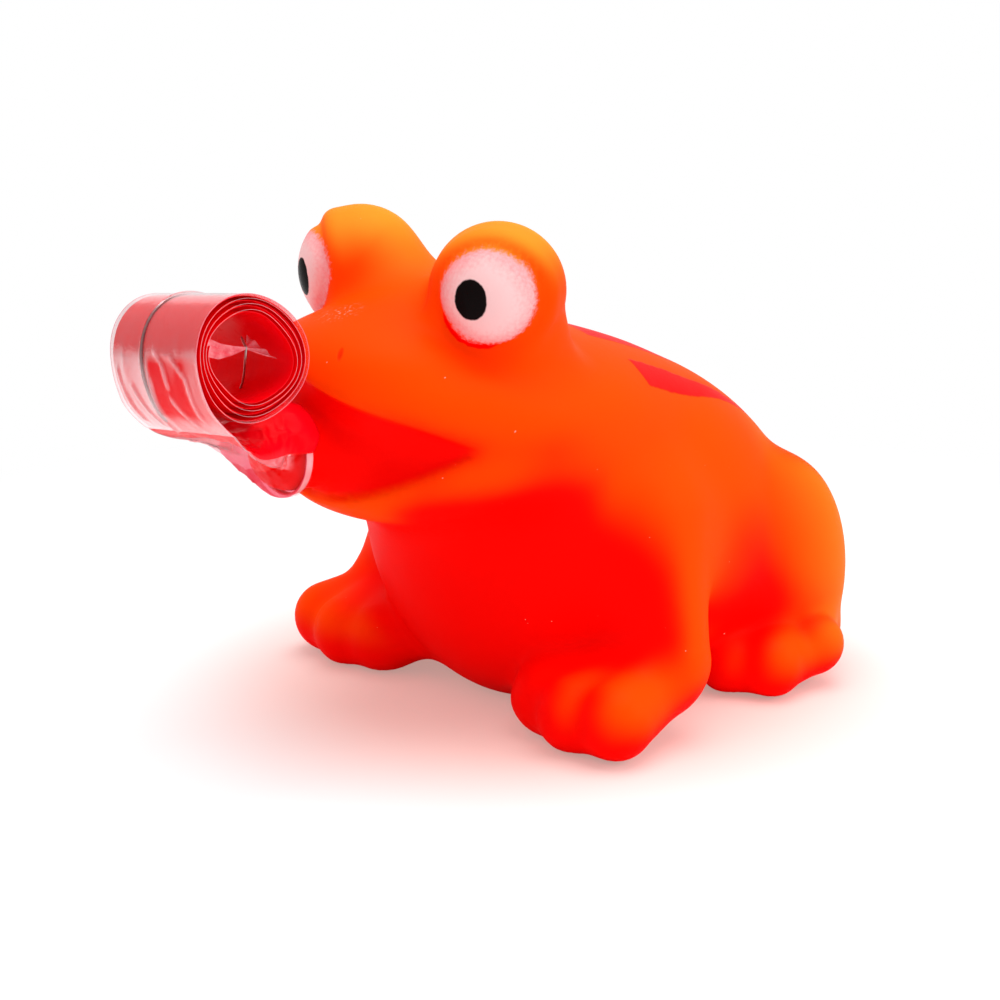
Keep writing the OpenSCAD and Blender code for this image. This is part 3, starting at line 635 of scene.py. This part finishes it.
red_film, shader, tone, place = new_finish("red_plastic_film", Specular_IOR_Level=0.02,
                                           Emission_Strength=0.14)
film_red, film_rose, film_highlight = (0.95, 0.001, 0.003, 1), (0.88, 0.001, 0.012, 1), (0.95, 0.035, 0.05, 1)
dark, painted_glow = (0, 0, 0, 1), (0.9, 0, 0.008, 1)
cloud = tone.noise(place, 300, 3)
fine = tone.noise(place, 2500, 2)
# Pale lines on the film's edges and folds are painted highlights
film_tint = tone.attribute("pale").tint(cloud.tint(film_red, film_rose), film_highlight)
film_tint.into(shader, "Base Color")
# The inside of the roll glows, painted light that stands in for light coming through the turns round it
tone.attribute("deep").tint(dark, painted_glow).into(shader, "Emission Color")
(cloud*0.16 + 0.2).into(shader, "Roughness")
tone.bump(cloud*0.8 + fine*0.2, 0.0002, 0.4).into(shader, "Normal")
glow = tone.node("ShaderNodeBsdfTranslucent", {}, {"Color": film_tint})
share = tone.attribute("deep")*0.4 + 0.1
both = tone.node("ShaderNodeMixShader", {}, {0: share, 1: Tone(tone.tree, shader.outputs[0]), 2: glow})
both.into(red_film.node_tree.nodes["Material Output"], "Surface")


def clear_plastic(name, tint):
    """A glossy film seen through in a tint: it gleams most at a glancing view, least where it clings
    to another film, and is solid and pale pink where highlights are painted on it."""
    material, shader, tone, place = new_finish(name)
    cloud = tone.noise(place, 260, 3)
    fine = tone.noise(place, 1800, 2)
    pale = tone.attribute("pale")
    gleam, highlight_pink = (0.95, 0.88, 0.9, 1), (0.95, 0.2, 0.27, 1)
    pale.tint(gleam, highlight_pink).into(shader, "Base Color")
    (1 - pale).into(shader, "Metallic")
    (cloud*0.1 + 0.1 + pale*0.3).into(shader, "Roughness")
    tone.bump(cloud*0.7 + fine*0.3, 0.0003, 0.4).into(shader, "Normal")
    glancing = tone.node("ShaderNodeLayerWeight", {}, {"Blend": 0.5}, "Facing")
    solid = glancing*glancing*0.8 + cloud.step(0.55, 0.75)*0.03 + 0.06
    solid = solid*(1 - tone.attribute("cling")*0.95)
    clear = tone.node("ShaderNodeBsdfTransparent", {}, {"Color": tint})
    glossy = Tone(tone.tree, shader.outputs[0])
    both = tone.node("ShaderNodeMixShader", {}, {0: solid.highest(pale*0.8), 1: clear, 2: glossy})
    both.into(material.node_tree.nodes["Material Output"], "Surface")
    return material


clear_tint, rosy_tint = (1, 0.88, 0.89, 1), (0.95, 0.42, 0.5, 1)
clear_film = clear_plastic("clear_plastic_film", clear_tint)
rosy_film = clear_plastic("rosy_plastic_film", rosy_tint)
neck_marks = {"pale": fold_highlight, "cling": np.full(len(fold_highlight), neck_cling)}
neck = make_piece("tongue_neck_film", neck_points, neck_faces, red_film, neck_marks)
neck.data.materials.append(clear_film)
neck.data.materials.append(rosy_film)
neck.data.polygons.foreach_set("material_index", (neck_clear*(1 + past_band)).astype(np.int32))
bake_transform(neck)
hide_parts("tongue_neck")


# The rest of the film tube is wound up by its wire, clear film outside and red inside. The clear
# film is wider, and its edges are painted pale as highlights at the roll's ends. The outermost turn lies
# loose.
roll_r, roll_rise, film_pitch, film_turns = 7.75, 7.9, 0.6, 4.25
film_t, ply_gap, clear_margin = 0.045, 0.24, 0.5
red_low, red_high = film_low + clear_margin, film_high - clear_margin
wire_x, wire_ridge, ridge_w = -1.6, 0.28, 0.3
roll_mid = cuff_mid + neck_l*forward + roll_rise*upward
roll_axes = np.stack([across, forward, upward])
turn_steps, sharp_angle = 84, 50
# Sharp folds of the loose film, each from one place to another: turns from below, and millimetres
# along the axis
loose_folds = [((0.227, 1.1), (0.189, 2.9)), ((0.189, 2.9), (0.135, 3.2)), ((0.227, 1.1), (0.21, 4.7)),
               ((0.21, 4.7), (0.154, 7.5)), ((0.154, 7.5), (0.057, 7.6)), ((0.15, -0.3), (0.06, -0.9)),
               ((0.13, -5), (0.02, -3.2)), ((0.1, 3), (0.0, 5.6)), ((0.17, -7.6), (0.03, -6.4))]


def roll_radius(t, inset):
    """The roll's radius at t turns: it falls by the pitch each turn, has soft corners, three outside
    and other ones inside, and its first seventh of a turn hangs loose."""
    a, inner = 2*np.pi*t, t/film_turns
    loose = 1.3*np.clip(1 - t/0.14, 0, 1)**2
    outer_corners = 0.28*np.cos(3*a - 0.42)
    inner_corners = 0.4*np.cos(2*a - 2.97) + 0.22*np.cos(4*a - 5.6)
    corners = outer_corners + (inner_corners - outer_corners)*inner
    uneven = 0.08*np.sin(1.13*a + 2.6) + 0.05*np.sin(2.08*a + 1) + 0.05*np.sin(0.87*a)
    return roll_r - film_pitch*t - inset + loose + corners*smooth(t, 0, 0.1) + uneven*smooth(t, 0.1, 0.6)


def fold_lines(t, x):
    """How near a point of the film is to one of its sharp folds: 1 on it, 0 away from it."""
    near = np.zeros(t.shape)
    p = np.stack([2*np.pi*roll_r*t, x], -1)
    for ends in loose_folds:
        a, b = (np.array([2*np.pi*roll_r*end[0], end[1]]) for end in ends)
        s = np.clip((p - a) @ (b - a)/((b - a) @ (b - a)), 0, 1)
        near = np.maximum(near, hump(length(p - a - s[..., None]*(b - a)), 0, 0.3))
    return near


def roll_point(t, x, inset, wrinkle):
    """A point of the winding at t turns from below, x along its axis. On the first turn it has a ridge
    over the wire, folds and creases, in the share that wrinkle gives."""
    first = smooth(1.1 - t, 0, 0.3)
    ridge = wrinkle*wire_ridge*hump(x, wire_x, ridge_w)*first
    loose = smooth(t, 0, 0.04)*(1 - smooth(t, 0.16, 0.3))
    creased = 0.22*fold_lines(t, x) + 0.1*crumple(9*t, 0.5*x, 4, 21)*loose
    r = roll_radius(t, inset) + ridge + wrinkle*creased*first*smooth(t, 0, 0.03)
    angle = 2*np.pi*t
    return (roll_mid + x[..., None]*across
            + (r*np.sin(angle))[..., None]*forward - (r*np.cos(angle))[..., None]*upward)


def closed_strip(over, under):
    """Points and faces of a thin strip between two grids of points: each row of the one goes on as the
    same row of the other, backwards, and the two ends are capped."""
    rows, half = over.shape[:2]
    cols = 2*half
    loop = np.concatenate([over, under[:, ::-1]], 1)
    ends = np.arange(half - 1)
    cap = np.stack([ends, ends + 1, cols - 2 - ends, cols - 1 - ends], -1)
    faces = [wrapped_grid(rows, cols)[:, ::-1], cap, cap[:, ::-1] + (rows - 1)*cols]
    return loop.reshape(-1, 3), np.concatenate(faces)


def film_strip(inset, wrinkle, low, high, columns):
    """One film of the winding as a closed strip. Its edges are painted pale as highlights, and outside
    also its margins and folds; how deep in the roll it lies and where it clings are kept too."""
    edge_w = 0.06
    line = np.linspace(low, high, columns)
    line[[1, -2]] = low + edge_w, high - edge_w
    turns = np.linspace(0, film_turns, int(film_turns*turn_steps) + 1)
    t, x = np.meshgrid(turns, line, indexing="ij")
    over, under = (roll_point(t, x, inset + d, wrinkle) for d in (0, film_t))
    points, faces = closed_strip(over, under)
    half = (film_high - film_low)/2
    rim = smooth(np.abs(x - (film_high + film_low)/2), half - 0.9, half - 0.1)
    outside = wrinkle*smooth(1.06 - t, 0, 0.04)
    pale = outside*np.clip(0.22*rim + 0.35*fold_lines(t, x)*smooth(t, 0, 0.03), 0, 1)
    pale[:, [0, -1]] = 1 - 0.4*smooth(t[:, [0, -1]], 0.9, 1.1)
    # Where the film clings to the one inside it, it hardly gleams: low on the front, left of the wire,
    # half as much higher up, and all over the inner turns
    cling = smooth(x, -1.2, 0)*(1 - smooth(x, 9.7, 10.4))
    cling = cling*(0.5 + 0.5*smooth(t, 0.02, 0.06))*(1 - smooth(t, 0.19, 0.225))
    cling = cling*(1 - 0.9*fold_lines(t, x))*(0.6 + 0.4*smooth(crumple(6*t, 0.4*x, 3, 12), -1.7, -1))
    half_cling = 0.5*smooth(t, 0.2, 0.24)*(1 - smooth(t, 0.36, 0.42))
    cling = np.maximum(np.maximum(cling, half_cling), smooth(t, 1, 1.1))
    deep = smooth(t, 0.8, 1.3)*(1 - 0.5*smooth(t, 3, 4))
    one_side = {"pale": pale, "deep": deep, "cling": cling}
    marks = {key: np.concatenate([v, v[:, ::-1]], 1).ravel() for key, v in one_side.items()}
    return points, faces, marks


points, faces, marks = film_strip(inset=0, wrinkle=1, low=film_low, high=film_high, columns=80)
clear_roll = make_piece("tongue_roll_clear_film", points, faces, clear_film, marks, sharp_angle)
points, faces, marks = film_strip(inset=ply_gap, wrinkle=0.2, low=red_low, high=red_high, columns=60)
red_roll = make_piece("tongue_roll_red_film", points, faces, red_film, marks, sharp_angle)
for piece in (clear_roll, red_roll):
    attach(piece, "tongue_coil")
    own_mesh(piece)
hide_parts("tongue_roll")


# A springy steel wire lies between the two films, wound with them, and rolls them up again.
# Its inner end leaves the last turn and is hooked through the tongue's sealed end.
wire_r, wire_sides, wire_start, wire_end, wire_end_x = 0.14, 10, 0.03, 3.833, 2
first_turn_r, first_turn_rise = 0.17, 0.1
dark_steel, light_steel = (0.24, 0.22, 0.21, 1), (0.5, 0.48, 0.46, 1)
wire_turns = np.linspace(wire_start, wire_end, int(wire_end*turn_steps))
first_turn = 1 - smooth(wire_turns, 0.85, 1.1)
r = roll_radius(wire_turns, ply_gap/2) + first_turn_rise*first_turn
x = wire_x + (wire_end_x - wire_x)*smooth(wire_turns, wire_end - 0.6, wire_end)
wire_path = np.stack([x, r*np.sin(2*np.pi*wire_turns), -r*np.cos(2*np.pi*wire_turns)], -1)
knot = np.array([7, -1, 1.5])
s = np.linspace(0, 1, 30)[1:, None]
leaving, arriving = wire_path[-1] + [1.6, 0.6, 0.9], knot - [0.2, 0.5, 2.2]
hook = bezier(s, wire_path[-1], leaving, arriving, knot)
beyond = knot + np.linspace(0, 1, 8)[1:, None]*np.array([-0.9, 0.5, 1.3])
wire_path = np.concatenate([wire_path, hook, beyond])


def round_tube(path, r, sides):
    """A round tube along a path, with a radius at each point: circles square to the path, and the end
    ones shrunk almost shut."""
    along = np.gradient(path, axis=0)
    along /= length(along)[:, None]
    first = np.cross(along, np.array([1.0, 0.05, 0.02]))
    first /= length(first)[:, None]
    second = np.cross(along, first)
    a = np.arange(sides)*2*np.pi/sides
    circles = np.cos(a)[:, None]*first[:, None] + np.sin(a)[:, None]*second[:, None]
    rings = path[:, None] + r[:, None, None]*circles
    rings[[0, -1]] = path[[0, -1], None] + 0.02*(rings[[0, -1]] - path[[0, -1], None])
    return rings.reshape(-1, 3), wrapped_grid(len(path), sides)[:, ::-1]


wire_radii = np.full(len(wire_path), wire_r)
wire_radii[:len(first_turn)] += (first_turn_r - wire_r)*first_turn
wire_local, wire_faces = round_tube(wire_path, wire_radii, wire_sides)
wire_points = roll_mid + wire_local @ roll_axes
steel, shader, tone, place = new_finish("spring_steel", Metallic=1.0)
drawn = tone.noise(place, 3000, 2)
drawn.tint(dark_steel, light_steel).into(shader, "Base Color")
(drawn*0.2 + 0.25).into(shader, "Roughness")
wire = make_piece("recoil_spring_wire", wire_points, wire_faces, steel)
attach(wire, "tongue_coil")
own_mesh(wire)
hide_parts("recoil_wire")


# The tongue's far end is pressed together, gathered on the wire's hook, and taped. It lies
# across the core of the roll like a small bow.
seal_t, seal_facing = 0.08, np.array([0.8, 0.5, 0.33])
seal_red, seal_pink = (0.8, 0.06, 0.09, 1), (0.9, 0.3, 0.34, 1)
# From the front of the core to the rear: the middle of the bow, and from there to its upper edge
bow_mid = np.array([(9, 5.2, -0.1), (8.4, 3.2, 0), (7.6, 0.9, 0.7),
                    knot, (6.9, -2.2, 1.9), (6.8, -3.1, 2.2)])
bow_half = np.array([(0, 0.3, 1), (0.1, 0.2, 0.85), (0.1, 0.1, 0.5),
                     (0, 0, 0.12), (-0.8, 0.9, 0.7), (-1.2, 1.6, 1)])


def sealed_end(u, v, lift):
    """A bow across the core: u from the front wall to the rear, v across it; it is narrow at the wire
    and pleated."""
    at = np.linspace(0, 1, len(bow_mid))
    mid, half = (np.stack([np.interp(u, at, row) for row in keys.T], -1) for keys in (bow_mid, bow_half))
    pleat = 0.12*np.sin(9*v + 4*u)*length(half)
    return mid + v[..., None]*half + (pleat + lift)[..., None]*seal_facing


rows, cols = 48, 20
u, v = np.meshgrid(np.linspace(0, 1, rows), np.linspace(-1, 1, cols), indexing="ij")
seal_local, seal_faces = closed_strip(sealed_end(u, v, seal_t), sealed_end(u, v, 0))
seal_points = roll_mid + seal_local @ roll_axes
sealed_film, shader, tone, place = new_finish("sealed_pink_film", Specular_IOR_Level=0.4, Alpha=0.8)
streak = tone.noise(place, 700, 3)
streak.step(0.3, 0.7).tint(seal_red, seal_pink).into(shader, "Base Color")
(streak*0.2 + 0.15).into(shader, "Roughness")
tone.bump(streak, 0.0001, 0.6).into(shader, "Normal")
seal = make_piece("tongue_sealed_end", seal_points, seal_faces, sealed_film, None, sharp_angle)
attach(seal, "tongue_coil")
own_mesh(seal)
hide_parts("tongue_tip_seal")


# The studio: a white floor and a white room, soft light from above and from the right,
# and the camera a little above the frog, to its front left.
floor_half = 3.0
floor_mesh = bpy.data.meshes.new("studio_floor")
floor_mesh.from_pydata([(-floor_half, -floor_half, 0), (floor_half, -floor_half, 0),
                        (floor_half, floor_half, 0), (-floor_half, floor_half, 0)], [], [(0, 1, 2, 3)])
floor = bpy.data.objects.new("studio_floor", floor_mesh)
bpy.context.scene.collection.objects.link(floor)
paper, shader, tone, place = new_finish("white_paper", Roughness=0.9, Specular_IOR_Level=0.1)
# Close to the frog the paper is painted pink and glows pink, painted bounce light that makes its shadow
# pinker and lighter; away from it, it is seen as white as the room
from_frog = tone.vector("LENGTH", place, out="Value")
seen = tone.node("ShaderNodeLightPath", out="Is Camera Ray")
bounce_pink_glow, full_white, bounce_pink_paper = (1, 0.64, 0.58, 1), (1, 1, 1, 1), (0.89, 0.66, 0.62, 1)
dull_paper, clean_paper = (0.87, 0.87, 0.87, 1), (0.89, 0.89, 0.89, 1)
painted_bounce_glow = from_frog.step(0.03, 0.065).tint(bounce_pink_glow, full_white)
white = tone.noise(place, 4).tint(dull_paper, clean_paper)
from_frog.step(0.03, 0.06).tint(bounce_pink_paper, white).into(shader, "Base Color")
glow = tone.node("ShaderNodeEmission", {}, {"Color": painted_bounce_glow, "Strength": 1.0})
lit = Tone(tone.tree, shader.outputs[0])
share = from_frog.step(0.05, 0.16)*0.56 + 0.44
both = tone.node("ShaderNodeMixShader", {}, {0: share*seen, 1: lit, 2: glow})
both.into(paper.node_tree.nodes["Material Output"], "Surface")
floor_mesh.materials.append(paper)

world = bpy.data.worlds.new("white_room")
bpy.context.scene.world = world
world.use_nodes = True
sky = world.node_tree.nodes["Background"]
tone = Tone(world.node_tree)
seen = tone.node("ShaderNodeLightPath", out="Is Camera Ray")
mirrored = tone.node("ShaderNodeLightPath", out="Is Glossy Ray")
through = tone.node("ShaderNodeLightPath", out="Is Transmission Ray")
room_light, dim_wall = 0.72, 0.48
direction = tone.node("ShaderNodeTexCoord", out="Generated")
behind = tone.node("ShaderNodeSeparateXYZ", {}, {0: direction}, "Y")
# A mirror shows the bright backdrop behind the frog and a dimmer room in front of it
mirror_light = behind.step(0.2, 0.3)*(1 - dim_wall) + dim_wall
white_seen = seen.highest(through)
plain = white_seen*(1 - room_light) + room_light
(mirrored*mirror_light + (1 - mirrored)*plain).into(sky, "Strength")
sky.inputs["Color"].default_value = full_white


def set_in_room(thing, right, up, back, at):
    """Puts an object into the scene at a place in metres, its X, Y and Z along right, up and back."""
    turned = np.stack([right, up, back], 1)
    thing.matrix_world = Matrix([(*row, p) for row, p in zip(turned, at)] + [(0, 0, 0, 1)])
    bpy.context.scene.collection.objects.link(thing)


def soft_box(name, place, target, size, power):
    """A square lamp at a place in metres, turned to a target."""
    lamp = bpy.data.lights.new(name, "AREA")
    lamp.size = size
    lamp.energy = power
    back = np.array(place) - np.array(target)
    back = back/np.linalg.norm(back)
    right = np.cross((0, 1, 0.01), back)
    right = right/np.linalg.norm(right)
    set_in_room(bpy.data.objects.new(name, lamp), right, np.cross(back, right), back, place)


frog_heart = (0, 0, 0.03)
soft_box("top_soft_box", (0.03, 0.06, 0.55), frog_heart, 0.5, 3.2)
soft_box("right_soft_box", (0.45, 0.3, 0.3), frog_heart, 0.35, 1.3)

camera_data = bpy.data.cameras.new("studio_camera")
camera_data.lens = 72
camera_data.sensor_width = 36
camera = bpy.data.objects.new("studio_camera", camera_data)
azimuth, elevation, distance = np.radians(47.7), np.radians(14.4), 0.268
look_at = np.array([0, -0.0119, 0.0267])
level = np.cos(elevation)
back = np.array([level*np.sin(azimuth), -level*np.cos(azimuth), np.sin(elevation)])
right = np.array([np.cos(azimuth), np.sin(azimuth), 0])
set_in_room(camera, right, np.cross(back, right), back, look_at + distance*back)
bpy.context.scene.camera = camera
bpy.context.scene.view_settings.view_transform = "Standard"
